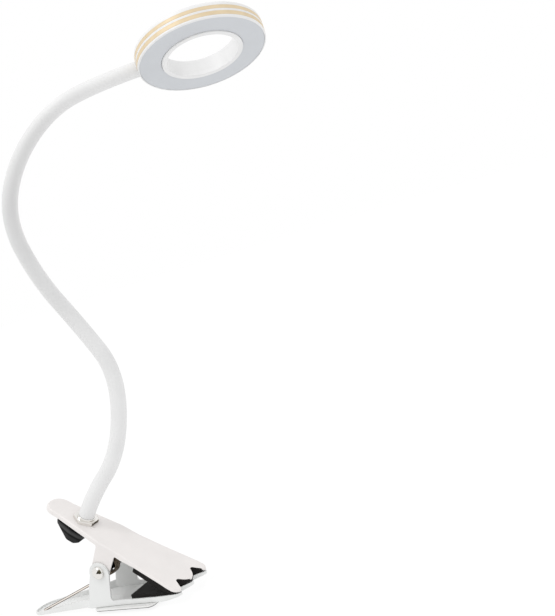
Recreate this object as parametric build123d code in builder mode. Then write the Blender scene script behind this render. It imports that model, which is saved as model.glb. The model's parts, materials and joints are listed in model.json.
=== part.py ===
from build123d import *
import os
from math import sin, cos, tan, radians, degrees

os.makedirs("parts", exist_ok=True)

# ---------------------------------------------------------------------------
# Driving dimensions (mm). Frame: +Z up, +X out of the jaw mouth, Y across.
# The origin is the point where the two grip pads meet, mid-width.
# ---------------------------------------------------------------------------
PIVOT = (-54.5, 0.0, 20.7)      # centre of the clip's pivot pin
JAW_ANGLE = 36.55               # angle between the two jaw plates, closed
SHEET = 1.2                     # steel sheet thickness
JOINT_GAP = 0.35                # side play between the ears

# upper jaw, in its own tilted frame: u along the plate, v above the pivot
UP_TOP = 20.6                   # top face of the plate above the pivot axis
UP_TIP = 60.8                   # finger tips ahead of the pivot
UP_END = 58.0                   # handle end behind the pivot
UP_LIP = 3.2                    # depth of the turned-down lip at the handle
FRONT_LIP = 3.8                 # and just ahead of the ears
UP_EAR_Y = 15.6                 # outer face of the ears
EAR_R = 6.9                     # ear radius round the pivot
PIN_R = 2.2                     # pivot pin
PIN_HEAD_R = 4.6
RIVETS = [(-7.0, 0.0), (26.0, -9.0), (26.0, 9.0)]   # base rivets, from the pivot
PLATE_HOLE = 4.15               # hole for the neck stud

# lower jaw, heights measured from the pivot axis
LOW_BOT = -24.9                 # underside of the floor
LOW_FLANGE = -21.15             # top edge of the front flanges
LOW_EAR_Y = UP_EAR_Y + JOINT_GAP + SHEET
LOW_TIP = 61.2
NOTCH_Y = 9.4                   # gaps between the fingers, from mid-width
LOW_END = 76.8

# base
BASE_X0, BASE_X1 = -13.0, 39.2
BASE_REAR, BASE_FRONT = 19.5, 23.3      # half widths
BASE_R = 4.5
BASE_T = 1.1
FOOT_T = 0.5

# neck
NECK_U = -28.0                  # neck axis on the upper plate
SLEEVE_R, SLEEVE_BORE = 5.5, 4.25
CORE_R = 3.95
BALL_R = 2.8
STEM_R = 1.6
BORE_R = 1.1
LEAD_R = 0.85
BEND_MAX = 40.0                 # largest bend at one neck joint, degrees
NECK_POINTS = [
    (-64.7, 0.0, 53.9),
    (-54.4, 0.0, 67.9),
    (-28.2, 12.2, 93.3),
    (-17.4, 24.1, 144.2),
    (-32.8, 20.8, 182.3),
    (-51.4, 16.7, 221.6),
    (-61.9, 18.4, 265.7),
    (-49.9, 32.8, 302.0),
    (-22.6, 53.7, 329.0),
    (10.3, 73.8, 335.6),
    (34.0, 85.7, 336.3),
]

# ring head
HEAD_C = (73.5, 105.45, 337.5)          # centre of the ring, mid-thickness
HEAD_UP = (-0.209, 0.361, 0.909)        # towards the top face
RING_R = 45.2
RING_H = 12.5
HOLE_R = 25.4
TRIM_R = 25.2                   # inner edge of the trim's flat lip
WALL = 1.8
BAND_D = 0.75

# ---------------------------------------------------------------------------
# Frames
# ---------------------------------------------------------------------------
ja = radians(JAW_ANGLE)
low = Plane(origin=PIVOT, x_dir=(1, 0, 0), z_dir=(0, 0, 1))
low_side = Plane(origin=PIVOT, x_dir=(1, 0, 0), z_dir=(0, -1, 0))
up = Plane(origin=PIVOT, x_dir=(cos(ja), 0, -sin(ja)), z_dir=(sin(ja), 0, cos(ja)))
up_side = Plane(origin=PIVOT, x_dir=up.x_dir, z_dir=(0, -1, 0))
pin_plane = Plane(origin=PIVOT, x_dir=(1, 0, 0), z_dir=(0, -1, 0))

pts = [Vector(*p) for p in NECK_POINTS]
plate_n = up.z_dir
pts[0] = up.from_local_coords(Vector(NECK_U, 0, UP_TOP))
pts[1] = pts[0] + plate_n * (pts[1] - pts[0]).length
head_up = Vector(*HEAD_UP).normalized()
head_c = Vector(*HEAD_C)
entry = pts[10] - head_c
entry = (entry - head_up * entry.dot(head_up)).normalized()
pts[10] = head_c + entry * (RING_R - 1.0)
pts[9] = pts[10] + entry * (pts[9] - pts[10]).length
head = Plane(origin=head_c, x_dir=entry, z_dir=head_up)
head_side = Plane(origin=head_c, x_dir=entry, z_dir=-head.y_dir)
head_axis = Axis(head_c, head_up)


def corners(sk, x, y):
    """The two mirrored corners of a sketch at x and +-y."""
    return [v for v in sk.vertices() if abs(v.X - x) < 0.02 and abs(abs(v.Y) - y) < 0.02]


def point(sk, x, y):
    """The corner of a sketch at x, y."""
    return [v for v in sk.vertices() if abs(v.X - x) < 0.02 and abs(v.Y - y) < 0.02]


def outline(half):
    """Outline of one jaw inside the current sketch, from half points given as x, y and corner radius."""
    sk = BuildSketch._get_context()
    Polygon(*[(x, y) for x, y, r in half], *[(x, -y) for x, y, r in reversed(half)], align=None)
    for x, y, r in half:
        if r:
            fillet(corners(sk, x, y), r)


def notches(tip, y0, grow=0.0, mode=Mode.ADD):
    """The two gaps between the three rounded fingers, the middle one a little shorter; grow widens them all round."""
    inner = [
        (-8.2, 0.7), (-7.95, 1.25), (-7.4, 1.7), (-6.3, 2.5), (-5.3, 3.4), (-4.35, 4.35), (-3.45, 5.4), (-2.75, 6.45),
        (-2.2, 7.5), (-1.8, 8.5), (-1.55, 9.35), (-1.5, 10.6), (0.4, 10.6),
    ]
    outer = [
        (-8.2, 0.7), (-7.95, 1.25), (-7.4, 1.7), (-6.2, 2.45), (-5.0, 3.3), (-3.9, 4.1), (-2.7, 4.8), (-1.7, 5.35),
        (-0.9, 6.0), (-0.3, 6.9), (0.4, 8.2),
    ]
    ring = [(tip + x - grow, y0 - d - 1.25 * grow) for x, d in inner]
    ring += [(tip + x - grow, y0 + d + 1.25 * grow) for x, d in reversed(outer)]
    Polygon(*ring, align=None, mode=mode)
    Polygon(*[(x, -y) for x, y in reversed(ring)], align=None, mode=mode)


def rim(part, way):
    """Outline edges of the faces that look along way: those that only one of these faces has."""
    faces = [f for f in part.faces() if f.normal_at().dot(way) > 0.9]
    found = []
    for f in faces:
        for e in f.edges():
            m = e.position_at(0.5)
            if not any(g is not f and any((h.position_at(0.5) - m).length < 0.01 for h in g.edges()) for g in faces):
                found.append(e)
    return found


# ---------------------------------------------------------------------------
# Lower jaw: half outline as x, y and corner radius, from the handle end to the fingers
# ---------------------------------------------------------------------------
low_half = [
    (-LOW_END, 10.2, 9.6),
    (-23.0, 13.6, 4.0),
    (-16.5, LOW_EAR_Y, 4.0),
    (10.0, LOW_EAR_Y, 30.0),
    (48.0, 19.8, 30.0),
    (LOW_TIP, 19.8, 4.5),
]
FRONT_RISE = 0.18               # slope of the floor towards the finger tips
low_line = [(-LOW_END - 1, LOW_BOT - 3.5), (-17.0, LOW_BOT), (48.0, LOW_BOT), (63.0, LOW_BOT + 15.0 * FRONT_RISE)]

with BuildPart() as lower_inside:
    with BuildSketch(low.offset(-32)):
        outline(low_half)
        offset(amount=-SHEET, kind=Kind.INTERSECTION, mode=Mode.REPLACE)
        notches(LOW_TIP, NOTCH_Y, SHEET, Mode.SUBTRACT)
    extrude(amount=44)
    with BuildSketch(low_side):
        Polygon(*[(x, z + SHEET) for x, z in low_line], (63, 30), (-LOW_END - 1, 30), align=None)
    extrude(amount=40, both=True, mode=Mode.INTERSECT)

with BuildPart() as lower_jaw:
    with BuildSketch(low.offset(-32)):
        outline(low_half)
    extrude(amount=44)
    with BuildSketch(low_side) as low_bottom:
        Polygon(*low_line, (63, 30), (-LOW_END - 1, 30), align=None)
        fillet(point(low_bottom, -17.0, LOW_BOT), 60)
        fillet(point(low_bottom, 48.0, LOW_BOT), 40)
    extrude(amount=40, both=True, mode=Mode.INTERSECT)
    fillet(rim(lower_jaw.part, Vector(0, 0, -1)), 1.0)
    add(lower_inside.part, mode=Mode.SUBTRACT)
    with BuildSketch(low_side) as low_prof:
        with Locations((0.1, -0.9)):
            Circle(7.9)
        Polygon(
            (-7.8, -0.9), (-12.3, -9.6), (-15.2, -18.3), (-16.6, -22.8), (-16.6, -40), (3.2, -40), (3.2, -18.4), (8.0, -1.0), align=None,
        )
        Polygon(
            (-LOW_END - 1, -40), (-14.0, -40), (-14.0, -18.5), (-16.0, -18.5), (-66.0, -25.1), (-73.0, -25.7), (-LOW_END - 1, -25.9), align=None,
        )
        Polygon(
            (2.2, -40), (64.0, -40), (64.0, -21.0), (62.0, -20.95), (58.0, -20.7), (51.0, -20.9), (40.0, LOW_FLANGE), (2.2, LOW_FLANGE), align=None,
        )
        fillet([v for v in low_prof.vertices() if abs(v.Y - LOW_FLANGE) < 0.02 and v.X < 10], 2.4)
    extrude(amount=40, both=True, mode=Mode.INTERSECT)
    with BuildSketch(low.offset(-32)):
        notches(LOW_TIP, NOTCH_Y)
    extrude(amount=44, mode=Mode.SUBTRACT)
    with BuildSketch(pin_plane):
        Circle(PIN_R)
    extrude(amount=40, both=True, mode=Mode.SUBTRACT)
    with BuildSketch(low.offset(LOW_BOT)):
        with Locations(*RIVETS):
            Circle(1.55)
    extrude(amount=4, both=True, mode=Mode.SUBTRACT)
    with BuildSketch(low.offset(LOW_BOT + 0.4)):
        with Locations(*RIVETS):
            Circle(1.55)
    extrude(amount=0.85, taper=-45, mode=Mode.SUBTRACT)
lower_jaw.part.label = "lower_jaw"

# ---------------------------------------------------------------------------
# Upper jaw
# ---------------------------------------------------------------------------
up_half = [
    (-UP_END, 9.6, 9.0),
    (-44.0, 10.0, 25.0),
    (-7.5, UP_EAR_Y, 30.0),
    (7.5, UP_EAR_Y, 30.0),
    (52.0, 21.0, 30.0),
    (UP_TIP, 21.0, 5.0),
]
UP_RISE = 0.7                   # the plate's front end is set up by this much
up_line = [(-UP_END - 1, UP_TOP), (30.0, UP_TOP), (62.0, UP_TOP + UP_RISE)]

with BuildPart() as upper_inside:
    with BuildSketch(up.offset(-12)):
        outline(up_half)
        offset(amount=-SHEET, kind=Kind.INTERSECTION, mode=Mode.REPLACE)
    extrude(amount=36)
    with BuildSketch(up_side):
        Polygon(*[(x, z - SHEET) for x, z in up_line], (62, -30), (-UP_END - 1, -30), align=None)
    extrude(amount=40, both=True, mode=Mode.INTERSECT)

with BuildPart() as upper_jaw:
    with BuildSketch(up.offset(-12)):
        outline(up_half)
    extrude(amount=36)
    with BuildSketch(up_side) as up_top:
        Polygon(*up_line, (62, -30), (-UP_END - 1, -30), align=None)
        fillet(point(up_top, 30.0, UP_TOP), 200)
    extrude(amount=40, both=True, mode=Mode.INTERSECT)
    fillet(rim(upper_jaw.part, up.z_dir), 1.5)
    add(upper_inside.part, mode=Mode.SUBTRACT)
    with BuildSketch(up_side) as up_prof:
        Circle(EAR_R)
        Polygon((-EAR_R, 0), (EAR_R, 0), (EAR_R + 0.15, 30), (-EAR_R - 1.8, 30), align=None)
        Polygon(
            (-UP_END - 1, 30), (63.0, 30), (63.0, 20.0), (61.4, 20.0), (56.0, 19.3), (47.0, 19.3), (25.0, 18.3), (12.5, UP_TOP - FRONT_LIP),
            (0, UP_TOP - FRONT_LIP), (0, UP_TOP - UP_LIP), (-UP_END - 1, UP_TOP - UP_LIP), align=None,
        )
        fillet([v for v in up_prof.vertices() if UP_TOP - FRONT_LIP - 0.02 < v.Y < UP_TOP - UP_LIP + 0.02 and abs(v.X) < 12], 1.4)
    extrude(amount=40, both=True, mode=Mode.INTERSECT)
    with BuildSketch(up.offset(-12)):
        notches(UP_TIP, NOTCH_Y)
    extrude(amount=36, mode=Mode.SUBTRACT)
    with BuildSketch(pin_plane):
        Circle(PIN_R + 0.06)
    extrude(amount=40, both=True, mode=Mode.SUBTRACT)
    with BuildSketch(up.offset(UP_TOP)):
        with Locations((NECK_U, 0)):
            Circle(PLATE_HOLE)
    extrude(amount=4, both=True, mode=Mode.SUBTRACT)
upper_jaw.part.label = "upper_jaw"

# ---------------------------------------------------------------------------
# Base plate, its rubber foot and the rivets
# ---------------------------------------------------------------------------
def base_plan(inset):
    """Plan of the base inside the current sketch, a little wider at the front."""
    sk = BuildSketch._get_context()
    x0, x1, y0, y1 = BASE_X0 + inset, BASE_X1 - inset, BASE_REAR - inset, BASE_FRONT - inset
    Polygon((x0, -y0), (x1, -y1), (x1, y1), (x0, y0), align=None)
    fillet(corners(sk, x0, y0) + corners(sk, x1, y1), BASE_R - inset)


with BuildPart() as base_plate:
    with BuildSketch(low.offset(LOW_BOT - BASE_T)):
        base_plan(0)
    extrude(amount=BASE_T)
    fillet(base_plate.faces().sort_by(Axis.Z)[-1].outer_wire().edges(), 0.6)
    with BuildSketch(low.offset(LOW_BOT)):
        with Locations(*RIVETS):
            Circle(1.55)
    extrude(amount=-BASE_T, mode=Mode.SUBTRACT)
base_plate.part.label = "base_plate"

with BuildPart() as base_pad:
    with BuildSketch(low.offset(LOW_BOT - BASE_T - FOOT_T)):
        base_plan(0.4)
    extrude(amount=FOOT_T)
base_pad.part.label = "base_pad"

with BuildPart() as base_rivets:
    with BuildSketch(low.offset(LOW_BOT - BASE_T)):
        with Locations(*RIVETS):
            Circle(1.5)
    extrude(amount=BASE_T + 0.42)
    with BuildSketch(low.offset(LOW_BOT + 0.42)):
        with Locations(*RIVETS):
            Circle(1.5)
    extrude(amount=SHEET - 0.45, taper=-45)
base_rivets.part.label = "base_rivets"

# ---------------------------------------------------------------------------
# Grip pads
# ---------------------------------------------------------------------------
floor_z = LOW_BOT + SHEET
with BuildPart() as lower_grip_pad:
    with BuildSketch(low.offset(-32)):
        outline(low_half)
        offset(amount=-SHEET - 0.25, kind=Kind.INTERSECTION, mode=Mode.REPLACE)
        notches(LOW_TIP, NOTCH_Y, SHEET + 0.25, Mode.SUBTRACT)
    extrude(amount=44)
    with BuildSketch(low_side) as low_pad_prof:
        Polygon(
            (19.8, floor_z), (19.8, -18.4), (53.0, -19.75), (55.6, -21.4), (55.6, floor_z + 7.6 * FRONT_RISE), (48.0, floor_z), align=None,
        )
        fillet(point(low_pad_prof, 19.8, -18.4), 0.5)
    extrude(amount=40, both=True, mode=Mode.INTERSECT)
lower_grip_pad.part.label = "lower_grip_pad"

plate_v = UP_TOP - SHEET
pad_line = [(23.3, 13.8), (45.0, 14.0), (51.5, 15.4), (55.5, 15.95), (57.1, 17.0), (60.5, 19.5)]

# the pad's edge stands up into the gaps between the fingers and lines them
with BuildPart() as pad_bead:
    with BuildSketch(up.offset(-12)):
        notches(UP_TIP, NOTCH_Y, -0.02)
        notches(UP_TIP, NOTCH_Y, -0.4, Mode.SUBTRACT)
    extrude(amount=36)
    with BuildSketch(up.offset(-12)):
        outline(up_half)
        offset(amount=-0.5, kind=Kind.INTERSECTION, mode=Mode.REPLACE)
    extrude(amount=36, mode=Mode.INTERSECT)
    with BuildSketch(up_side):
        Polygon(*pad_line[2:5], (58.8, 19.5), (58.8, UP_TOP + 0.3), (51.5, UP_TOP + 0.15), align=None)
    extrude(amount=40, both=True, mode=Mode.INTERSECT)

with BuildPart() as upper_grip_pad:
    with BuildSketch(up.offset(-12)):
        outline(up_half)
        offset(amount=-SHEET - 0.25, kind=Kind.INTERSECTION, mode=Mode.REPLACE)
        notches(UP_TIP, NOTCH_Y, -0.4, Mode.SUBTRACT)
    extrude(amount=36)
    with BuildSketch(up_side) as up_pad_prof:
        Polygon(*pad_line, (60.5, plate_v + 30.5 * UP_RISE / 32), (30.0, plate_v), (23.3, plate_v), align=None)
        fillet(point(up_pad_prof, 23.3, 13.8), 0.5)
    extrude(amount=40, both=True, mode=Mode.INTERSECT)
    add(pad_bead.part)
upper_grip_pad.part.label = "upper_grip_pad"

# ---------------------------------------------------------------------------
# Pivot pin with two domed heads, and the spring's bush
# ---------------------------------------------------------------------------
with BuildPart() as pivot_pin:
    with BuildSketch(pin_plane):
        Circle(PIN_R - 0.02)
    extrude(amount=LOW_EAR_Y + 0.5, both=True)
    with BuildSketch(pin_plane.offset(LOW_EAR_Y)):
        Circle(PIN_HEAD_R)
    extrude(amount=2.5)
    fillet(pivot_pin.faces().sort_by(Axis.Y)[0].edges(), 2.3)
    with BuildSketch(pin_plane.offset(-LOW_EAR_Y)):
        Circle(PIN_HEAD_R)
    extrude(amount=-2.5)
    fillet(pivot_pin.faces().sort_by(Axis.Y)[-1].edges(), 2.3)
pivot_pin.part.label = "pivot_pin"

BUSH_L = 26.0
with BuildPart() as spring_bush:
    with BuildSketch(pin_plane.offset(-BUSH_L / 2)):
        Circle(3.6)
        Circle(PIN_R + 0.05, mode=Mode.SUBTRACT)
    extrude(amount=BUSH_L)
spring_bush.part.label = "spring_bush"

# ---------------------------------------------------------------------------
# Torsion spring: a straight leg along the lower handle, a coil round the bush
# and a leg that bears on the underside of the upper handle
# ---------------------------------------------------------------------------
WIRE_R = 0.9
COIL_R = 5.49
COIL_PITCH = 1.95
COIL_Y = -4.6                   # near end of the coil, from mid-width
LEG_SLOPE = 16.55               # lower leg, below horizontal
LEG_L = 69.5
LIFT = 40.0                     # upper leg, from the plate
p0 = Vector(*PIVOT)
start_angle = -90.0 + LEG_SLOPE
end_angle = 90.0 - LIFT - JAW_ANGLE
coil_turn = 2 * 360.0 + end_angle - start_angle
coil_plane = Plane(
    origin=p0 + Vector(0, COIL_Y, 0), x_dir=(cos(radians(start_angle)), 0, sin(radians(start_angle))), z_dir=(0, 1, 0),
)
coil = coil_plane * Helix(pitch=COIL_PITCH, height=COIL_PITCH * coil_turn / 360.0, radius=COIL_R, lefthand=True)

with BuildPart() as torsion_spring:
    t0, t1 = coil.tangent_at(0), coil.tangent_at(1)
    c0, c1 = coil.position_at(0), coil.position_at(1)
    lift_len = (plate_v - WIRE_R - 0.3 - COIL_R * cos(radians(LIFT))) / t1.dot(up.z_dir)
    with BuildLine():
        Line(c0 - t0 * LEG_L, c0)
        add(coil)
        Line(c1, c1 + t1 * lift_len)
    with BuildSketch(Plane(origin=c0 - t0 * LEG_L, z_dir=t0)):
        Circle(WIRE_R)
    sweep()
    print("spring leg end", c0 - t0 * LEG_L, "lift end", c1 + t1 * lift_len)
torsion_spring.part.label = "torsion_spring"

# ---------------------------------------------------------------------------
# Neck foot: ferrule, stud, washer, nut
# ---------------------------------------------------------------------------
foot = Plane(origin=pts[0], x_dir=up.x_dir, z_dir=plate_n)
foot_side = Plane(origin=pts[0], x_dir=up.x_dir, z_dir=-foot.y_dir)
foot_axis = Axis(pts[0], plate_n)
SEAT = 2.6                      # neck's seat above the plate
FERRULE_R = 8.9                 # across the hexagon's corners, half
STUD_R = 4.05
NUT_T = 3.0

with BuildPart() as neck_ferrule:
    with BuildSketch(foot):
        RegularPolygon(FERRULE_R, 6, rotation=30)
    extrude(amount=2.4)
    chamfer(neck_ferrule.faces().sort_by(foot_axis)[-1].edges(), 0.3)
    with BuildSketch(foot_side) as fer:
        Polygon((0, 0), (6.5, 0), (6.5, 3.7), (0, 3.7), align=None)
        fillet(point(fer, 6.5, 3.7), 0.5)
    revolve(axis=foot_axis)
    with BuildSketch(foot.offset(SEAT)):
        Circle(5.62)
    extrude(amount=4, mode=Mode.SUBTRACT)
    with BuildSketch(foot):
        Circle(STUD_R + 0.03)
    extrude(amount=4, mode=Mode.SUBTRACT)
neck_ferrule.part.label = "neck_ferrule"

with BuildPart() as neck_stud:
    with BuildSketch(foot.offset(-SHEET - 0.9 - NUT_T - 0.8)):
        Circle(STUD_R)
        Circle(1.6, mode=Mode.SUBTRACT)
    extrude(amount=SHEET + 0.9 + NUT_T + 0.8 + SEAT)
    chamfer(neck_stud.faces().filter_by(Plane(origin=pts[0], z_dir=plate_n)).sort_by(foot_axis)[0].outer_wire().edges(), 0.4)
neck_stud.part.label = "neck_stud"

with BuildPart() as lock_washer:
    with BuildSketch(foot.offset(-SHEET - 0.9)):
        Circle(6.4)
        Circle(STUD_R + 0.15, mode=Mode.SUBTRACT)
    extrude(amount=0.9)
lock_washer.part.label = "lock_washer"

with BuildPart() as lock_nut:
    with BuildSketch(foot.offset(-SHEET - 0.9 - NUT_T)):
        RegularPolygon(6.9, 6, rotation=30)
        Circle(STUD_R + 0.03, mode=Mode.SUBTRACT)
    extrude(amount=NUT_T)
lock_nut.part.label = "lock_nut"

# ---------------------------------------------------------------------------
# Cable cover under the handle, hollow, open against the plate, with a round
# outlet towards the handle's end
# ---------------------------------------------------------------------------
COVER_T = 1.3
OUT_V = 15.2
OUT_R = 3.0
cover_prof = [(-47.5, 19.3), (-46.6, 11.6), (-34.5, 4.9), (-28.4, 4.9), (-24.4, 7.2), (-20.2, 15.0), (-19.2, 19.3)]


def teardrop(inset):
    """Plan of the cable cover inside the current sketch, shrunk by inset."""
    sk = BuildSketch._get_context()
    Polygon((-47.4, -5.4), (-33.0, -9.2), (-19.3, -9.2), (-19.3, 9.2), (-33.0, 9.2), (-47.4, 5.4), align=None)
    fillet(corners(sk, -47.4, 5.4), 3.5)
    fillet(corners(sk, -33.0, 9.2), 14)
    fillet(corners(sk, -19.3, 9.2), 8)
    if inset:
        offset(amount=-inset, kind=Kind.INTERSECTION, mode=Mode.REPLACE)


with BuildPart() as cover_inside:
    with BuildSketch(up):
        teardrop(COVER_T)
    extrude(amount=24)
    with BuildSketch(up_side):
        Polygon((-46.1, 19.9), (-45.2, 12.4), (-34.1, 6.3), (-30.4, 6.3), (-26.3, 9.0), (-21.6, 15.4), (-20.6, 19.9), align=None)
    extrude(amount=30, both=True, mode=Mode.INTERSECT)

with BuildPart() as cable_cover:
    with BuildSketch(up):
        teardrop(0)
    extrude(amount=24)
    with BuildSketch(up_side) as cov:
        Polygon(*cover_prof, align=None)
        fillet(point(cov, -46.6, 11.6), 3.0)
        fillet(point(cov, -34.5, 4.9), 3.2)
        fillet(point(cov, -28.4, 4.9) + point(cov, -24.4, 7.2), 2.0)
        fillet(point(cov, -20.2, 15.0), 5.0)
    extrude(amount=30, both=True, mode=Mode.INTERSECT)
    add(cover_inside.part, mode=Mode.SUBTRACT)
    with BuildSketch(Plane(origin=up.from_local_coords(Vector(-50, 0, OUT_V)), z_dir=up.x_dir)):
        Circle(OUT_R)
    extrude(amount=9.0, mode=Mode.SUBTRACT)
cable_cover.part.label = "cable_cover"

with BuildPart() as cable_grommet:
    with BuildSketch(Plane(origin=up.from_local_coords(Vector(-49.4, 0, OUT_V)), z_dir=up.x_dir)):
        Circle(2.95)
        Circle(2.1, mode=Mode.SUBTRACT)
    extrude(amount=6.0)
cable_grommet.part.label = "cable_grommet"

# ---------------------------------------------------------------------------
# Neck: nine lengths with a ball joint between each pair
# ---------------------------------------------------------------------------
LINKS = 9
mid = [None] + [(pts[k] + pts[k + 1]) * 0.5 for k in range(1, LINKS)]
gap = SLEEVE_R * tan(radians(BEND_MAX / 2)) + 0.15
CUP = 0.6                       # how far the cup reaches past the ball's centre
TAIL = 4.6                      # the core's shoulder behind the ball's centre


def span(k, before, after):
    """Centre line of length k, as start, corner and end; before and after shift its ends along the neck."""
    a = pts[0] + plate_n * SEAT if k == 0 else mid[k]
    b = pts[k + 1]
    c = pts[LINKS + 1] if k == LINKS - 1 else mid[k + 1]
    return a + (b - a).normalized() * before, b, c + (c - b).normalized() * after


def bend_radius(k):
    """The largest arc that leaves a straight stretch at both joints of length k."""
    a, b, c = span(k, 0, 0)
    turn = (b - a).get_angle(c - b)
    return (min((b - a).length, (c - b).length) - 5.6) / tan(radians(turn / 2))


sleeves, cores, leads = [], [], []
for k in range(LINKS):
    first, last = k == 0, k == LINKS - 1
    a, b, c = span(k, 0 if first else gap, 0 if last else -gap)
    with BuildPart() as sleeve:
        with BuildLine():
            FilletPolyline(a, b, c, radius=bend_radius(k))
        with BuildSketch(Plane(origin=a, z_dir=b - a)):
            Circle(SLEEVE_R)
            Circle(SLEEVE_BORE, mode=Mode.SUBTRACT)
        sweep()
    sleeve.part.label = f"neck_sleeve_{k + 1}"
    sleeves.append(sleeve)

    a, b, c = span(k, 0 if first else -CUP, 7.0 if last else -TAIL)
    a0, b0, c0 = span(k, 0, 0)
    with BuildPart() as core:
        with BuildLine():
            FilletPolyline(a, b, c, radius=bend_radius(k))
        with BuildSketch(Plane(origin=a, z_dir=b - a)):
            Circle(CORE_R)
            Circle(BORE_R, mode=Mode.SUBTRACT)
        sweep()
        if not first:
            with Locations(Location(a0)):
                Sphere(BALL_R + 0.06, mode=Mode.SUBTRACT)
        if not last:
            with BuildSketch(Plane(origin=c, z_dir=c - b)):
                Circle(STEM_R)
            extrude(amount=TAIL)
            with Locations(Location(c0)):
                Sphere(BALL_R)
            with BuildSketch(Plane(origin=c, z_dir=c - b)):
                Circle(BORE_R)
            extrude(amount=TAIL + BALL_R + 1, mode=Mode.SUBTRACT)
    core.part.label = f"neck_core_{k + 1}"
    cores.append(core)

    a, b, c = span(k, -SEAT - SHEET - 0.9 - NUT_T if first else BALL_R + 0.5, 6.9 if last else -0.6)
    with BuildPart() as lead:
        with BuildLine():
            FilletPolyline(a, b, c, radius=bend_radius(k))
        with BuildSketch(Plane(origin=a, z_dir=b - a)):
            Circle(LEAD_R)
        sweep()
    lead.part.label = f"neck_lead_{k + 1}"
    leads.append(lead)
    print("length", k + 1, "bend radius", round(bend_radius(k), 1))

with BuildPart() as tail_leads:
    for y in (-1.0, 1.0):
        route = [up.from_local_coords(Vector(u, y, v)) for u, v in ((-28, 14.4), (-28, 10.4), (-35.5, 10.4), (-38.5, 12.4))]
        with BuildLine():
            FilletPolyline(*route, radius=2.0)
        with BuildSketch(Plane(origin=route[0], z_dir=route[1] - route[0])):
            Circle(0.75)
        sweep()
tail_leads.part.label = "tail_leads"

# ---------------------------------------------------------------------------
# Ring head, in its own tilted frame: r from the ring's axis, h above mid-thickness
# ---------------------------------------------------------------------------
TOP = RING_H / 2
BOT = -RING_H / 2
SEAM = 0.1                      # socket blocks start this far above mid-thickness
IN_SEAM = -2.9                  # seam between cover and trim at the inner wall
OUT_SEAM = -0.7                 # seam between cover and frame at the rim
OUT_GAP = 0.03                  # half of that seam
band_u0, band_u1 = 0.1, 2.85
band_l0, band_l1 = -4.6, -1.5
entry_plane = Plane(origin=head_c + entry * 42.7, x_dir=head_up, z_dir=entry)
NECK_HOLE = SLEEVE_R + 0.1
BOARD_H = 1.0                   # underside of the LED board
BOARD_T = 1.2
SCREW_R = 32.0


def neck_hole():
    """Cuts the neck's round entry through the current part's outer wall."""
    with BuildSketch(entry_plane) as hole:
        Circle(NECK_HOLE)
    extrude(hole.sketch, amount=6, mode=Mode.SUBTRACT)


with BuildPart() as head_cover:
    with BuildSketch(head_side) as prof:
        Polygon(
            (HOLE_R, IN_SEAM), (HOLE_R, TOP), (RING_R, TOP), (RING_R, OUT_SEAM + OUT_GAP), (RING_R - WALL, OUT_SEAM + OUT_GAP),
            (RING_R - WALL, TOP - 1.6), (HOLE_R + 1.6, TOP - 1.6), (HOLE_R + 1.6, IN_SEAM), align=None,
        )
        fillet(point(prof, RING_R, TOP), 2.0)
        fillet(point(prof, HOLE_R, TOP), 1.4)
        Polygon(
            (RING_R + 1, band_u0), (RING_R + 1, band_u1), (RING_R - BAND_D, band_u1), (RING_R - BAND_D, band_u0),
            align=None, mode=Mode.SUBTRACT,
        )
    revolve(axis=head_axis)
    with BuildSketch(head.offset(BOARD_H + BOARD_T)):
        with PolarLocations(SCREW_R, 3, start_angle=60):
            Circle(2.0)
    extrude(amount=TOP - 1.0 - BOARD_H - BOARD_T)
    with BuildSketch(head.offset(BOARD_H + BOARD_T)):
        with PolarLocations(SCREW_R, 3, start_angle=60):
            Circle(0.85)
    extrude(amount=2.3, mode=Mode.SUBTRACT)
    with BuildSketch(head.offset(SEAM)):
        with Locations((38.6, 0), (41.4, 0)):
            Rectangle(1.4, 11.6)
    extrude(amount=TOP - 1.0 - SEAM)
    with BuildSketch(Plane(origin=head_c + entry * 35.0, x_dir=head_up, z_dir=entry)):
        Circle(4.6)
    extrude(amount=8, mode=Mode.SUBTRACT)
    neck_hole()
head_cover.part.label = "head_cover"

with BuildPart() as head_frame:
    with BuildSketch(head_side) as prof:
        Polygon(
            (RING_R - WALL, OUT_SEAM - OUT_GAP), (RING_R, OUT_SEAM - OUT_GAP), (RING_R, BOT), (RING_R - 1.05, BOT), (RING_R - 1.05, -4.9),
            (RING_R - WALL, -4.9), align=None,
        )
        fillet(point(prof, RING_R, BOT), 0.7)
        Polygon(
            (RING_R + 1, band_l0), (RING_R + 1, band_l1), (RING_R - BAND_D, band_l1), (RING_R - BAND_D, band_l0),
            align=None, mode=Mode.SUBTRACT,
        )
    revolve(axis=head_axis)
    neck_hole()
head_frame.part.label = "head_frame"

with BuildPart() as inner_trim:
    with BuildSketch(head_side) as prof:
        Polygon(
            (TRIM_R, IN_SEAM - 0.12), (HOLE_R + 1.6, IN_SEAM - 0.12), (HOLE_R + 1.6, -4.1), (29.5, -4.1), (29.5, -4.88), (28.6, -4.88),
            (28.6, -7.0), (TRIM_R, -7.0), align=None,
        )
        fillet(point(prof, 28.6, -7.0), 0.45)
        fillet(point(prof, TRIM_R, -7.0), 0.4)
    revolve(axis=head_axis)
inner_trim.part.label = "inner_trim"

with BuildPart() as diffuser:
    with BuildSketch(head_side) as prof:
        Polygon((28.85, -4.9), (RING_R - 1.1, -4.9), (RING_R - 1.1, -6.05), (28.85, -6.05), align=None)
        fillet(point(prof, RING_R - 1.1, -6.05), 0.3)
    revolve(axis=head_axis)
diffuser.part.label = "diffuser"

BAND_GAP = 7.6                  # half angle of the bands' gap at the neck
gap_a = radians(BAND_GAP)
band_x = entry * cos(gap_a) + head.y_dir * sin(gap_a)
band_side = Plane(origin=head_c, x_dir=band_x, z_dir=band_x.cross(head_up))

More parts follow.
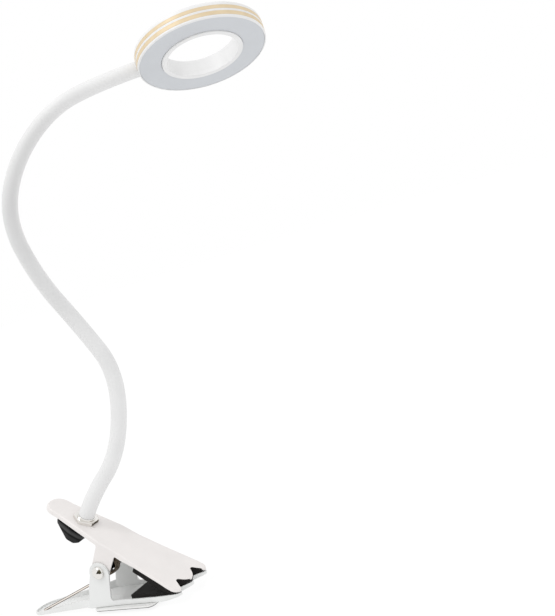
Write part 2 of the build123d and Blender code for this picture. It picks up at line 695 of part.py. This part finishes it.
with BuildPart() as gold_band_upper:
    with BuildSketch(band_side) as prof:
        Polygon(
            (RING_R - BAND_D + 0.05, band_u0 + 0.04), (RING_R + 0.1, band_u0 + 0.04), (RING_R + 0.1, band_u1 - 0.04),
            (RING_R - BAND_D + 0.05, band_u1 - 0.04), align=None,
        )
        fillet(point(prof, RING_R + 0.1, band_u0 + 0.04) + point(prof, RING_R + 0.1, band_u1 - 0.04), 0.25)
    revolve(axis=head_axis, revolution_arc=360 - 2 * BAND_GAP)
gold_band_upper.part.label = "gold_band_upper"

with BuildPart() as gold_band_lower:
    with BuildSketch(band_side) as prof:
        Polygon(
            (RING_R - BAND_D + 0.05, band_l0 + 0.04), (RING_R + 0.1, band_l0 + 0.04), (RING_R + 0.1, band_l1 - 0.04),
            (RING_R - BAND_D + 0.05, band_l1 - 0.04), align=None,
        )
        fillet(point(prof, RING_R + 0.1, band_l0 + 0.04) + point(prof, RING_R + 0.1, band_l1 - 0.04), 0.25)
    revolve(axis=head_axis, revolution_arc=360 - 2 * BAND_GAP)
gold_band_lower.part.label = "gold_band_lower"

with BuildPart() as led_board:
    with BuildSketch(head.offset(BOARD_H)):
        Circle(42.6)
        Circle(30.0, mode=Mode.SUBTRACT)
        with Locations((41.0, 0)):
            Rectangle(11.0, 12.8, mode=Mode.SUBTRACT)
        with PolarLocations(SCREW_R, 3, start_angle=60):
            Circle(1.0, mode=Mode.SUBTRACT)
    extrude(amount=BOARD_T)
led_board.part.label = "led_board"

with BuildPart() as leds:
    with BuildSketch(head.offset(BOARD_H - 0.7)):
        with PolarLocations(37.0, 34, start_angle=15, angular_range=340):
            Rectangle(2.6, 3.0)
    extrude(amount=0.7)
leds.part.label = "leds"

with BuildPart() as board_screws:
    with BuildSketch(head.offset(BOARD_H - 0.9)):
        with PolarLocations(SCREW_R, 3, start_angle=60):
            Circle(1.7)
    extrude(amount=0.9)
    with BuildSketch(head.offset(BOARD_H)):
        with PolarLocations(SCREW_R, 3, start_angle=60):
            Circle(0.8)
    extrude(amount=3.2)
board_screws.part.label = "board_screws"

with BuildPart() as head_socket:
    with BuildSketch(Plane(origin=head_c + entry * 36.3, x_dir=head_up, z_dir=entry)):
        Circle(4.55)
        Circle(1.7, mode=Mode.SUBTRACT)
    extrude(amount=6.9)
    with BuildSketch(Plane(origin=head_c + entry * 37.2, x_dir=head_up, z_dir=entry)):
        Circle(CORE_R + 0.03)
    extrude(amount=8, mode=Mode.SUBTRACT)
head_socket.part.label = "head_socket"

with BuildPart() as head_leads:
    for y in (-0.85, 0.85):
        route = [head.from_local_coords(Vector(r, y, h)) for r, h in ((37.1, 0), (33.6, 0), (33.6, BOARD_H))]
        with BuildLine():
            FilletPolyline(*route, radius=0.8)
        with BuildSketch(Plane(origin=route[0], z_dir=route[1] - route[0])):
            Circle(0.6)
        sweep()
head_leads.part.label = "head_leads"

# ---------------------------------------------------------------------------
# Files
# ---------------------------------------------------------------------------
for piece in (
    lower_jaw, base_plate, base_pad, base_rivets, lower_grip_pad, pivot_pin, spring_bush, torsion_spring,
    upper_jaw, upper_grip_pad, neck_ferrule, neck_stud, lock_washer, lock_nut, cable_cover, cable_grommet, tail_leads,
    *sleeves, *cores, *leads,
    head_cover, head_frame, inner_trim, diffuser, gold_band_upper, gold_band_lower,
    led_board, leds, board_screws, head_socket, head_leads,
):
    export_step(piece.part, f"parts/{piece.part.label}.step")

for k in range(1, LINKS):
    way = (pts[k + 1] - pts[k]).normalized()
    print("joint", k, [round(v, 3) for v in mid[k]], "along", [round(v, 4) for v in way])
print("outlet", up.from_local_coords(Vector(-49.4, 0, OUT_V)), "away", up.x_dir * -1)
print("head axis", head_up, "entry", entry, "centre", head_c)
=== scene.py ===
import bpy
import json
import math
import numpy as np
from mathutils import Matrix, Vector


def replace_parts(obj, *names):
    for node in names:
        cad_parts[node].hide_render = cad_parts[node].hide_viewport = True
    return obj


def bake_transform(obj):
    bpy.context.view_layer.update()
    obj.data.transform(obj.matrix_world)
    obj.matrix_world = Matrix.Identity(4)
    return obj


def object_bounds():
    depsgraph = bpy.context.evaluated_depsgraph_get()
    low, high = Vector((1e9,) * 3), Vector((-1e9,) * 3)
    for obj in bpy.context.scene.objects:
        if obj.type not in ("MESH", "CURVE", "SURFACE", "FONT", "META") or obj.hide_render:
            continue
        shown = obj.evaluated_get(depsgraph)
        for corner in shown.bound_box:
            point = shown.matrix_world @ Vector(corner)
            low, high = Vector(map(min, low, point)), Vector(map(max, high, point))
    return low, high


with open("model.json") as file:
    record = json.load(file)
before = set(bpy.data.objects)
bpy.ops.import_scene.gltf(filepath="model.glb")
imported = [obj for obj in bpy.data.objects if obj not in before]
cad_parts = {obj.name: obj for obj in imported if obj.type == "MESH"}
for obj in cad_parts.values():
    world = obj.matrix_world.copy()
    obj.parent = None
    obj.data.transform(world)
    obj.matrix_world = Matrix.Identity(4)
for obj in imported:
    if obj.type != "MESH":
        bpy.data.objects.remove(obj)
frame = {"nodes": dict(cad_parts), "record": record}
cad_lo, cad_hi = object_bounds()
nodes = frame["nodes"]
scene = bpy.context.scene
MM = 0.001

# ---------------------------------------------------------------------------
# Camera, at the photograph's viewing angle
# ---------------------------------------------------------------------------
right = Vector((0.84854812, 0.43807382, -0.29674471))
upward = Vector((0.20431131, 0.24605643, 0.94747724))
away = Vector((-0.48808092, 0.86460833, -0.11928728))
cam_data = bpy.data.cameras.new("camera")
cam_data.lens = 1309.5 * 36.0 / 616.0
cam_data.sensor_width = 36.0
cam_data.clip_start, cam_data.clip_end = 0.01, 50.0
camera = bpy.data.objects.new("camera", cam_data)
scene.collection.objects.link(camera)
camera.matrix_world = Matrix((
    (right.x, upward.x, -away.x, 0.51678),
    (right.y, upward.y, -away.y, -0.68541),
    (right.z, upward.z, -away.z, 0.26007),
    (0, 0, 0, 1),
))
scene.camera = camera
scene.view_settings.view_transform = "Standard"
scene.view_settings.look = "None"

# ---------------------------------------------------------------------------
# Studio: white surroundings, a pale floor, soft lights
# ---------------------------------------------------------------------------
world = bpy.data.worlds.new("studio")
scene.world = world
world.use_nodes = True
world.node_tree.nodes["Background"].inputs["Color"].default_value = (1, 1, 1, 1)
world.node_tree.nodes["Background"].inputs["Strength"].default_value = 1.0

FLOOR_Z = cad_lo[2] - 0.0002


def grid_mesh(name, verts, faces):
    me = bpy.data.meshes.new(name)
    me.from_pydata(verts, [], faces)
    me.update()
    ob = bpy.data.objects.new(name, me)
    scene.collection.objects.link(ob)
    return ob


floor = grid_mesh(
    "floor",
    [(math.cos(a) * 3, math.sin(a) * 3, FLOOR_Z) for a in [2 * math.pi * i / 64 for i in range(64)]],
    [tuple(range(64))],
)
fm = bpy.data.materials.new("floor")
fm.use_nodes = True
nt = fm.node_tree
nt.nodes.clear()
out = nt.nodes.new("ShaderNodeOutputMaterial")
mix = nt.nodes.new("ShaderNodeMixShader")
emit = nt.nodes.new("ShaderNodeEmission")
diff = nt.nodes.new("ShaderNodeBsdfDiffuse")
emit.inputs["Color"].default_value = (1, 1, 1, 1)
emit.inputs["Strength"].default_value = 1.02
diff.inputs["Color"].default_value = (0.92, 0.92, 0.92, 1)
mix.inputs[0].default_value = 0.12
nt.links.new(emit.outputs[0], mix.inputs[1])
nt.links.new(diff.outputs[0], mix.inputs[2])
nt.links.new(mix.outputs[0], out.inputs["Surface"])
floor.data.materials.append(fm)


def area_light(name, at, towards, size, power, colour=(1, 1, 1)):
    li = bpy.data.lights.new(name, "AREA")
    li.shape = "DISK"
    li.size = size
    li.energy = power
    li.color = colour
    ob = bpy.data.objects.new(name, li)
    scene.collection.objects.link(ob)
    ob.location = at
    ob.rotation_mode = "QUATERNION"
    ob.rotation_quaternion = (Vector(towards) - Vector(at)).to_track_quat("-Z", "Y")
    return ob


mid = Vector((0.0, 0.03, 0.17))
area_light("key", mid - right * 1.1 + upward * 1.2 - away * 0.6, mid, 0.7, 7.0)


def mirror_card(name, at, normal, shape, reach, tone):
    """A dark card that only reflections see, set where a mirror at that point shows it in this outline (mm right and up)."""
    eye = camera.matrix_world.translation
    verts = []
    for a, b in shape:
        d = (at + right * a * MM + upward * b * MM - eye).normalized()
        q = eye + d * ((at - eye).dot(normal) / d.dot(normal))
        verts.append(q + (d - normal * (2 * d.dot(normal))) * reach)
    ob = grid_mesh(name, verts, [tuple(range(len(verts)))])
    m = bpy.data.materials.new(name)
    m.use_nodes = True
    b = m.node_tree.nodes["Principled BSDF"]
    b.inputs["Base Color"].default_value = tone
    b.inputs["Roughness"].default_value = 0.9
    ob.data.materials.append(m)
    ob.visible_camera = False
    ob.visible_diffuse = False
    ob.visible_shadow = False
    return ob


mirror_card("card_rivet", Vector((-54.5, -19.65, 20.7)) * MM, Vector((0, -1, 0)), [(-0.3, 0.3), (5.0, 0.3), (2.2, 5.6)], 0.0006, (0.2, 0.187, 0.12, 1))

# ---------------------------------------------------------------------------
# Materials
# ---------------------------------------------------------------------------


def lin(r, g, b):
    """A colour given in 0-255 display values, as linear light."""
    def one(c):
        c /= 255.0
        return c / 12.92 if c <= 0.04045 else ((c + 0.055) / 1.055) ** 2.4
    return (one(r), one(g), one(b), 1.0)


def material(name, dark, light, rough=(0.35, 0.45), tone_scale=60.0, bump_scale=700.0, bump=0.02, depth=0.0003, **sockets):
    """A surface with soft tone variation, uneven gloss and a fine bump; constant values go on the shader's own sockets."""
    m = bpy.data.materials.new(name)
    m.use_nodes = True
    t = m.node_tree
    b = t.nodes["Principled BSDF"]
    co = t.nodes.new("ShaderNodeTexCoord")
    n1 = t.nodes.new("ShaderNodeTexNoise")
    n1.inputs["Scale"].default_value = tone_scale
    n1.inputs["Detail"].default_value = 4.0
    ramp = t.nodes.new("ShaderNodeValToRGB")
    ramp.color_ramp.elements[0].position = 0.3
    ramp.color_ramp.elements[0].color = dark
    ramp.color_ramp.elements[1].position = 0.7
    ramp.color_ramp.elements[1].color = light
    t.links.new(co.outputs["Object"], n1.inputs["Vector"])
    t.links.new(n1.outputs["Fac"], ramp.inputs["Fac"])
    t.links.new(ramp.outputs["Color"], b.inputs["Base Color"])
    mr = t.nodes.new("ShaderNodeMapRange")
    mr.inputs["To Min"].default_value = rough[0]
    mr.inputs["To Max"].default_value = rough[1]
    t.links.new(n1.outputs["Fac"], mr.inputs["Value"])
    t.links.new(mr.outputs["Result"], b.inputs["Roughness"])
    if bump:
        n2 = t.nodes.new("ShaderNodeTexNoise")
        n2.inputs["Scale"].default_value = bump_scale
        n2.inputs["Detail"].default_value = 3.0
        bp = t.nodes.new("ShaderNodeBump")
        bp.inputs["Strength"].default_value = bump
        bp.inputs["Distance"].default_value = depth
        t.links.new(co.outputs["Object"], n2.inputs["Vector"])
        t.links.new(n2.outputs["Fac"], bp.inputs["Height"])
        t.links.new(bp.outputs["Normal"], b.inputs["Normal"])
    for k, v in sockets.items():
        b.inputs[k.replace("_", " ")].default_value = v
    return m


def banded(name, stops, into, offset, turn, scale):
    """Lays bands of tone across one of a material's sockets, along a direction fixed to the piece."""
    t = M[name].node_tree
    co = t.nodes.new("ShaderNodeTexCoord")
    mp = t.nodes.new("ShaderNodeMapping")
    mp.inputs["Location"].default_value = (offset, 0, 0)
    mp.inputs["Rotation"].default_value = (0, turn, 0)
    mp.inputs["Scale"].default_value = (scale, scale, scale)
    gr = t.nodes.new("ShaderNodeTexGradient")
    ramp = t.nodes.new("ShaderNodeValToRGB")
    while len(ramp.color_ramp.elements) < len(stops):
        ramp.color_ramp.elements.new(0.5)
    for e, (at, tone) in zip(ramp.color_ramp.elements, stops):
        e.position = at
    for e, (at, tone) in zip(ramp.color_ramp.elements, stops):
        e.color = tone
    t.links.new(co.outputs["Object"], mp.inputs["Vector"])
    t.links.new(mp.outputs["Vector"], gr.inputs["Vector"])
    t.links.new(gr.outputs["Fac"], ramp.inputs["Fac"])
    t.links.new(ramp.outputs["Color"], t.nodes["Principled BSDF"].inputs[into])


def grey(v):
    return (v, v, v, 1.0)


M = {}
M["upper_white"] = material("upper_white", lin(224, 220, 218), lin(229, 225, 223), rough=(0.32, 0.42), bump=0.05, Coat_Weight=0.2, Coat_Roughness=0.2)
M["lower_white"] = material("lower_white", lin(221, 222, 221), lin(226, 227, 226), rough=(0.30, 0.40), bump=0.05, Coat_Weight=0.2, Coat_Roughness=0.2)
M["base_white"] = material("base_white", lin(221, 221, 220), lin(226, 226, 225), rough=(0.35, 0.45), bump=0.05)
M["black_rubber"] = material("black_rubber", lin(20, 18, 17), lin(28, 26, 25), rough=(0.65, 0.8), tone_scale=200, bump_scale=1500, bump=0.2, Specular_IOR_Level=0.15)
M["chrome"] = material("chrome", lin(228, 226, 222), lin(236, 234, 231), rough=(0.06, 0.12), bump=0.0, Metallic=1.0)
M["zinc_steel"] = material("zinc_steel", lin(170, 172, 175), lin(196, 197, 198), rough=(0.25, 0.4), bump=0.05, Metallic=1.0)
M["spring_wire"] = material("spring_wire", lin(126, 90, 62), lin(156, 116, 82), rough=(0.16, 0.24), tone_scale=300, bump=0.03, Metallic=1.0)
M["neck_white"] = material("neck_white", lin(222, 222, 222), lin(227, 227, 227), rough=(0.48, 0.58), tone_scale=40, bump_scale=1800, bump=0.06, Sheen_Weight=0.05)
M["core_steel"] = material("core_steel", lin(150, 152, 156), lin(180, 182, 186), rough=(0.3, 0.45), Metallic=1.0)
M["lead_red"] = material("lead_red", lin(160, 30, 28), lin(178, 40, 36), rough=(0.4, 0.5))
M["black_plastic"] = material("black_plastic", lin(10, 10, 11), lin(16, 16, 17), rough=(0.2, 0.3), tone_scale=150, bump_scale=900, bump=0.25, Specular_IOR_Level=0.3)
M["head_white"] = material("head_white", lin(226, 226, 226), lin(231, 231, 231), rough=(0.4, 0.5), bump=0.02, Coat_Weight=0.1, Coat_Roughness=0.3)
M["pale_gold"] = material("pale_gold", lin(214, 194, 160), lin(224, 205, 172), rough=(0.42, 0.55), tone_scale=120, bump=0.03, Metallic=0.15)
M["frosted"] = material("frosted", lin(198, 201, 205), lin(202, 205, 209), rough=(0.45, 0.55), bump_scale=2500, bump=0.05)
M["board_white"] = material("board_white", lin(222, 222, 216), lin(232, 232, 226), rough=(0.4, 0.5))
M["led_yellow"] = material("led_yellow", lin(226, 196, 90), lin(238, 212, 112), rough=(0.3, 0.4))

# the cover: bands of specular level that paint a reflection streak along it; the wire: painted shade at the coil,
# painted highlight along the lower leg
# painted reflection: a bright band of specular level across the black cover
banded("black_plastic", [(0.0, grey(0.2)), (0.33, grey(0.26)), (0.40, grey(0.03)), (0.455, grey(0.6)), (0.50, grey(0.45)), (0.57, grey(0.03)), (1.0, grey(0.03))],
       "Specular IOR Level", 0.6594, math.radians(90.0 - 36.55), 1.0 / 0.024)
# painted shade and highlight: the wire's base colour is dark at the coil and near white along the lower leg
banded("spring_wire", [(0.0, lin(239, 232, 225)), (0.5, lin(233, 222, 211)), (0.62, lin(112, 100, 86)), (1.0, lin(98, 88, 76))],
       "Base Color", 2.2, 0.0, 1.0 / 0.04)

slot_of = {s["node"]: s["material_slot"] for s in frame["record"]["subparts"]}
for name, ob in nodes.items():
    ob.data.materials.clear()
    ob.data.materials.append(M[slot_of[name]])

# ---------------------------------------------------------------------------
# Neck: one smooth sleeve in eight pieces, each bending across one joint
# ---------------------------------------------------------------------------
PIVOT = np.array((-54.5, 0.0, 20.7))
JAW_ANGLE = math.radians(36.55)
plate_x = np.array((math.cos(JAW_ANGLE), 0, -math.sin(JAW_ANGLE)))
plate_n = np.array((math.sin(JAW_ANGLE), 0, math.cos(JAW_ANGLE)))
ROUTE = np.array([
    (-64.7, 0.0, 53.9), (-54.4, 0.0, 67.9), (-28.2, 12.2, 93.3), (-17.4, 24.1, 144.2), (-32.8, 20.8, 182.3), (-51.4, 16.7, 221.6),
    (-61.9, 18.4, 265.7), (-49.9, 32.8, 302.0), (-22.6, 53.7, 329.0), (10.3, 73.8, 335.6), (34.0, 85.7, 336.3),
])
HEAD_C = np.array((73.5, 105.45, 337.5))
HEAD_UP = np.array((-0.209, 0.361, 0.909))
HEAD_UP = HEAD_UP / np.linalg.norm(HEAD_UP)
pts = ROUTE.copy()
pts[0] = PIVOT - 28.0 * plate_x + 20.6 * plate_n
pts[1] = pts[0] + plate_n * np.linalg.norm(ROUTE[1] - pts[0])
entry = pts[10] - HEAD_C
entry = entry - HEAD_UP * (entry @ HEAD_UP)
entry /= np.linalg.norm(entry)
tip = HEAD_C + entry * 44.2
pts[9] = tip + entry * np.linalg.norm(ROUTE[9] - ROUTE[10])
pts[10] = tip
seat = pts[0] + plate_n * 2.6
ends = [seat] + [(pts[k] + pts[k + 1]) / 2 for k in range(1, 9)] + [pts[10]]
R_OUT, R_IN = 5.5, 4.25
SEGS = 48
STEP = 0.5


def bezier(k, t):
    """Centre line of length k, from one joint to the next."""
    a, b, c = ends[k], pts[k + 1], ends[k + 1]
    t = np.asarray(t)[:, None]
    return (1 - t) ** 2 * a + 2 * t * (1 - t) * b + t * t * c


line, marks = [], []
for k in range(9):
    fine = bezier(k, np.linspace(0, 1, 400))
    run = np.concatenate([[0], np.cumsum(np.linalg.norm(np.diff(fine, axis=0), axis=1))])
    count = 2 * int(round(run[-1] / STEP / 2))
    even = np.stack([np.interp(np.linspace(0, run[-1], count + 1), run, fine[:, i]) for i in range(3)], 1)
    marks.append((len(line), len(line) + count // 2))
    line.extend(even[:-1] if k < 8 else even)
line = np.array(line)
tangent = np.gradient(line, axis=0)
tangent /= np.linalg.norm(tangent, axis=1)[:, None]
side = np.zeros_like(line)
side[0] = np.array((0, 1.0, 0))
for i in range(1, len(line)):
    s = side[i - 1] - tangent[i] * (side[i - 1] @ tangent[i])
    side[i] = s / np.linalg.norm(s)
third = np.cross(tangent, side)
along = np.concatenate([[0], np.cumsum(np.linalg.norm(np.diff(line, axis=0), axis=1))])
angle = np.linspace(0, 2 * math.pi, SEGS, endpoint=False)
PITCH, RIPPLE = 1.9, 0.02


def ring(i, radius, ripple):
    r = radius + ripple * np.sin(2 * math.pi * along[i] / PITCH + angle)
    return line[i] + r[:, None] * (np.cos(angle)[:, None] * side[i] + np.sin(angle)[:, None] * third[i])


def sleeve_piece(name, i0, i1):
    """A closed tube from ring i0 to ring i1."""
    rows = list(range(i0, i1 + 1))
    outer = np.concatenate([ring(i, R_OUT, RIPPLE) for i in rows])
    inner = np.concatenate([ring(i, R_IN, 0.0) for i in rows[::4] + ([rows[-1]] if (len(rows) - 1) % 4 else [])])
    verts = np.concatenate([outer, inner]) * MM
    n, m = len(outer) // SEGS, len(inner) // SEGS
    faces = []
    for base, count, flip in ((0, n, False), (len(outer), m, True)):
        for i in range(count - 1):
            for j in range(SEGS):
                a = base + i * SEGS + j
                b = base + i * SEGS + (j + 1) % SEGS
                f = (a, b, b + SEGS, a + SEGS)
                faces.append(f[::-1] if flip else f)
    for j in range(SEGS):
        k = (j + 1) % SEGS
        faces.append((len(outer) + j, len(outer) + k, k, j))
        e, g = (n - 1) * SEGS, len(outer) + (m - 1) * SEGS
        faces.append((e + j, e + k, g + k, g + j))
    ob = grid_mesh(name, [tuple(v) for v in verts], faces)
    ob.data.polygons.foreach_set("use_smooth", [True] * len(faces))
    normals = np.zeros((len(verts), 3))
    normals[: len(outer)] = np.concatenate([
        np.cos(angle)[:, None] * side[i] + np.sin(angle)[:, None] * third[i]
        - (RIPPLE * 2 * math.pi / PITCH) * np.cos(2 * math.pi * along[i] / PITCH + angle)[:, None] * tangent[i]
        for i in rows
    ])
    per_corner = []
    for p in ob.data.polygons:
        cap = p.index >= len(faces) - 2 * SEGS
        for v in p.vertices:
            per_corner.append((0, 0, 0) if cap or v >= len(outer) else tuple(normals[v] / np.linalg.norm(normals[v])))
    ob.data.normals_split_custom_set(per_corner)
    ob.data.materials.append(M["neck_white"])
    return ob


for k in range(1, 9):
    i0 = 0 if k == 1 else marks[k - 1][1]
    i1 = len(line) - 1 if k == 8 else marks[k][1]
    ob = sleeve_piece(f"sleeve_{k}", i0, i1)
    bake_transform(ob)
    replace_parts(ob, *([f"neck_sleeve_{k}"] + (["neck_sleeve_9"] if k == 8 else [])))

# ---------------------------------------------------------------------------
# Torsion spring: round wire that winds up as the jaws open
# ---------------------------------------------------------------------------
WIRE_R, COIL_R, COIL_PITCH, COIL_Y, LEG_L = 0.9, 5.49, 1.95, -4.6, 69.5
first_angle = -90.0 + 16.55
turn = 2 * 360.0 + (90.0 - 40.0 - 36.55) - first_angle
height = COIL_PITCH * turn / 360.0


def on_coil(f):
    a = math.radians(first_angle + turn * f)
    return PIVOT + np.array((COIL_R * math.cos(a), COIL_Y + height * f, COIL_R * math.sin(a)))


def heading(f):
    a = math.radians(first_angle + turn * f)
    d = np.array((-COIL_R * math.sin(a), COIL_PITCH / (2 * math.pi), COIL_R * math.cos(a)))
    return d / np.linalg.norm(d)


def spring(name):
    """Straight leg, coil that winds across the clip, straight leg up to the plate."""
    n = int(turn / 8)
    c0, t0, c1, t1 = on_coil(0), heading(0), on_coil(1), heading(1)
    lift = (19.4 - WIRE_R - 0.3 - COIL_R * math.cos(math.radians(40.0))) / (t1 @ plate_n)
    pth = [c0 - t0 * LEG_L * (1 - t) for t in np.linspace(0, 0.97, 30)]
    pth += [on_coil(i / n) for i in range(n + 1)]
    pth += [c1 + t1 * lift * t for t in np.linspace(0.06, 1.0, 16)]
    pth = np.array(pth)
    cu = bpy.data.curves.new(name, "CURVE")
    cu.dimensions = "3D"
    sp = cu.splines.new("POLY")
    sp.points.add(len(pth) - 1)
    for p, v in zip(sp.points, pth):
        p.co = (*(v * MM), 1)
    cu.bevel_depth = WIRE_R * MM
    cu.bevel_resolution = 7
    cu.use_fill_caps = True
    tmp = bpy.data.objects.new(name + "_line", cu)
    scene.collection.objects.link(tmp)
    dg = bpy.context.evaluated_depsgraph_get()
    me = bpy.data.meshes.new_from_object(tmp.evaluated_get(dg))
    bpy.data.objects.remove(tmp)
    me.name = name
    ob = bpy.data.objects.new(name, me)
    scene.collection.objects.link(ob)
    me.polygons.foreach_set("use_smooth", [True] * len(me.polygons))
    me.materials.clear()
    me.materials.append(M["spring_wire"])
    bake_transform(ob)
    return ob


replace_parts(spring("spring"), "torsion_spring")


def wire_cards(reach, first, last):
    """Two dark strips beside the spring's lower leg that only reflections see; they draw the wire's edges."""
    c0, t0 = on_coil(0), heading(0)
    a, b = c0 - t0 * (LEG_L + 0.5), c0 - t0 * 6.0
    eye = np.array(camera.matrix_world.translation) / MM - (a + b) / 2
    front = eye - t0 * (eye @ t0)
    front /= np.linalg.norm(front)
    across = np.cross(t0, front)
    for name, way in (("card_wire_a", 1), ("card_wire_b", -1)):
        rows = [front * math.cos(w) + across * way * math.sin(w) for w in np.radians(np.linspace(first, last, 9))]
        verts = [tuple((end + row * reach) * MM) for row in rows for end in (a, b)]
        ob = grid_mesh(name, verts, [(2 * i, 2 * i + 1, 2 * i + 3, 2 * i + 2) for i in range(len(rows) - 1)])
        m = bpy.data.materials.new(name)
        m.use_nodes = True
        sh = m.node_tree.nodes["Principled BSDF"]
        sh.inputs["Base Color"].default_value = lin(120, 98, 82)
        sh.inputs["Roughness"].default_value = 0.9
        ob.data.materials.append(m)
        ob.visible_camera = False
        ob.visible_diffuse = False
        ob.visible_shadow = False


wire_cards(1.3, 46.0, 108.0)

# ---------------------------------------------------------------------------
# What the ferrule's front facet mirrors
# ---------------------------------------------------------------------------
facet = (pts[0] + 7.71 * plate_x + 1.1 * plate_n) * MM
mirror_card(
    "card_ferrule", Vector(facet), Vector(plate_x),
    [(-2.9, -3.2), (2.7, 0.8), (3.5, 4.2), (-2.1, 0.5)], 0.0005, (0.8, 0.76, 0.72, 1),
)

# ---------------------------------------------------------------------------
# A dark flag before the neck's loop: it takes light from the front
# ---------------------------------------------------------------------------
loop = Vector(min(pts, key=lambda p: Vector(p).dot(right))) * MM - away * 0.09
flag = grid_mesh("flag", [tuple(loop + right * w + upward * u) for w, u in ((-0.035, -0.06), (0.045, -0.06), (0.045, 0.035), (-0.035, 0.035))], [(0, 1, 2, 3)])
flag_m = bpy.data.materials.new("flag")
flag_m.use_nodes = True
flag_m.node_tree.nodes["Principled BSDF"].inputs["Base Color"].default_value = (0.02, 0.02, 0.02, 1)
flag_m.node_tree.nodes["Principled BSDF"].inputs["Roughness"].default_value = 0.9
flag.data.materials.append(flag_m)
flag.visible_camera = False
flag.visible_glossy = False
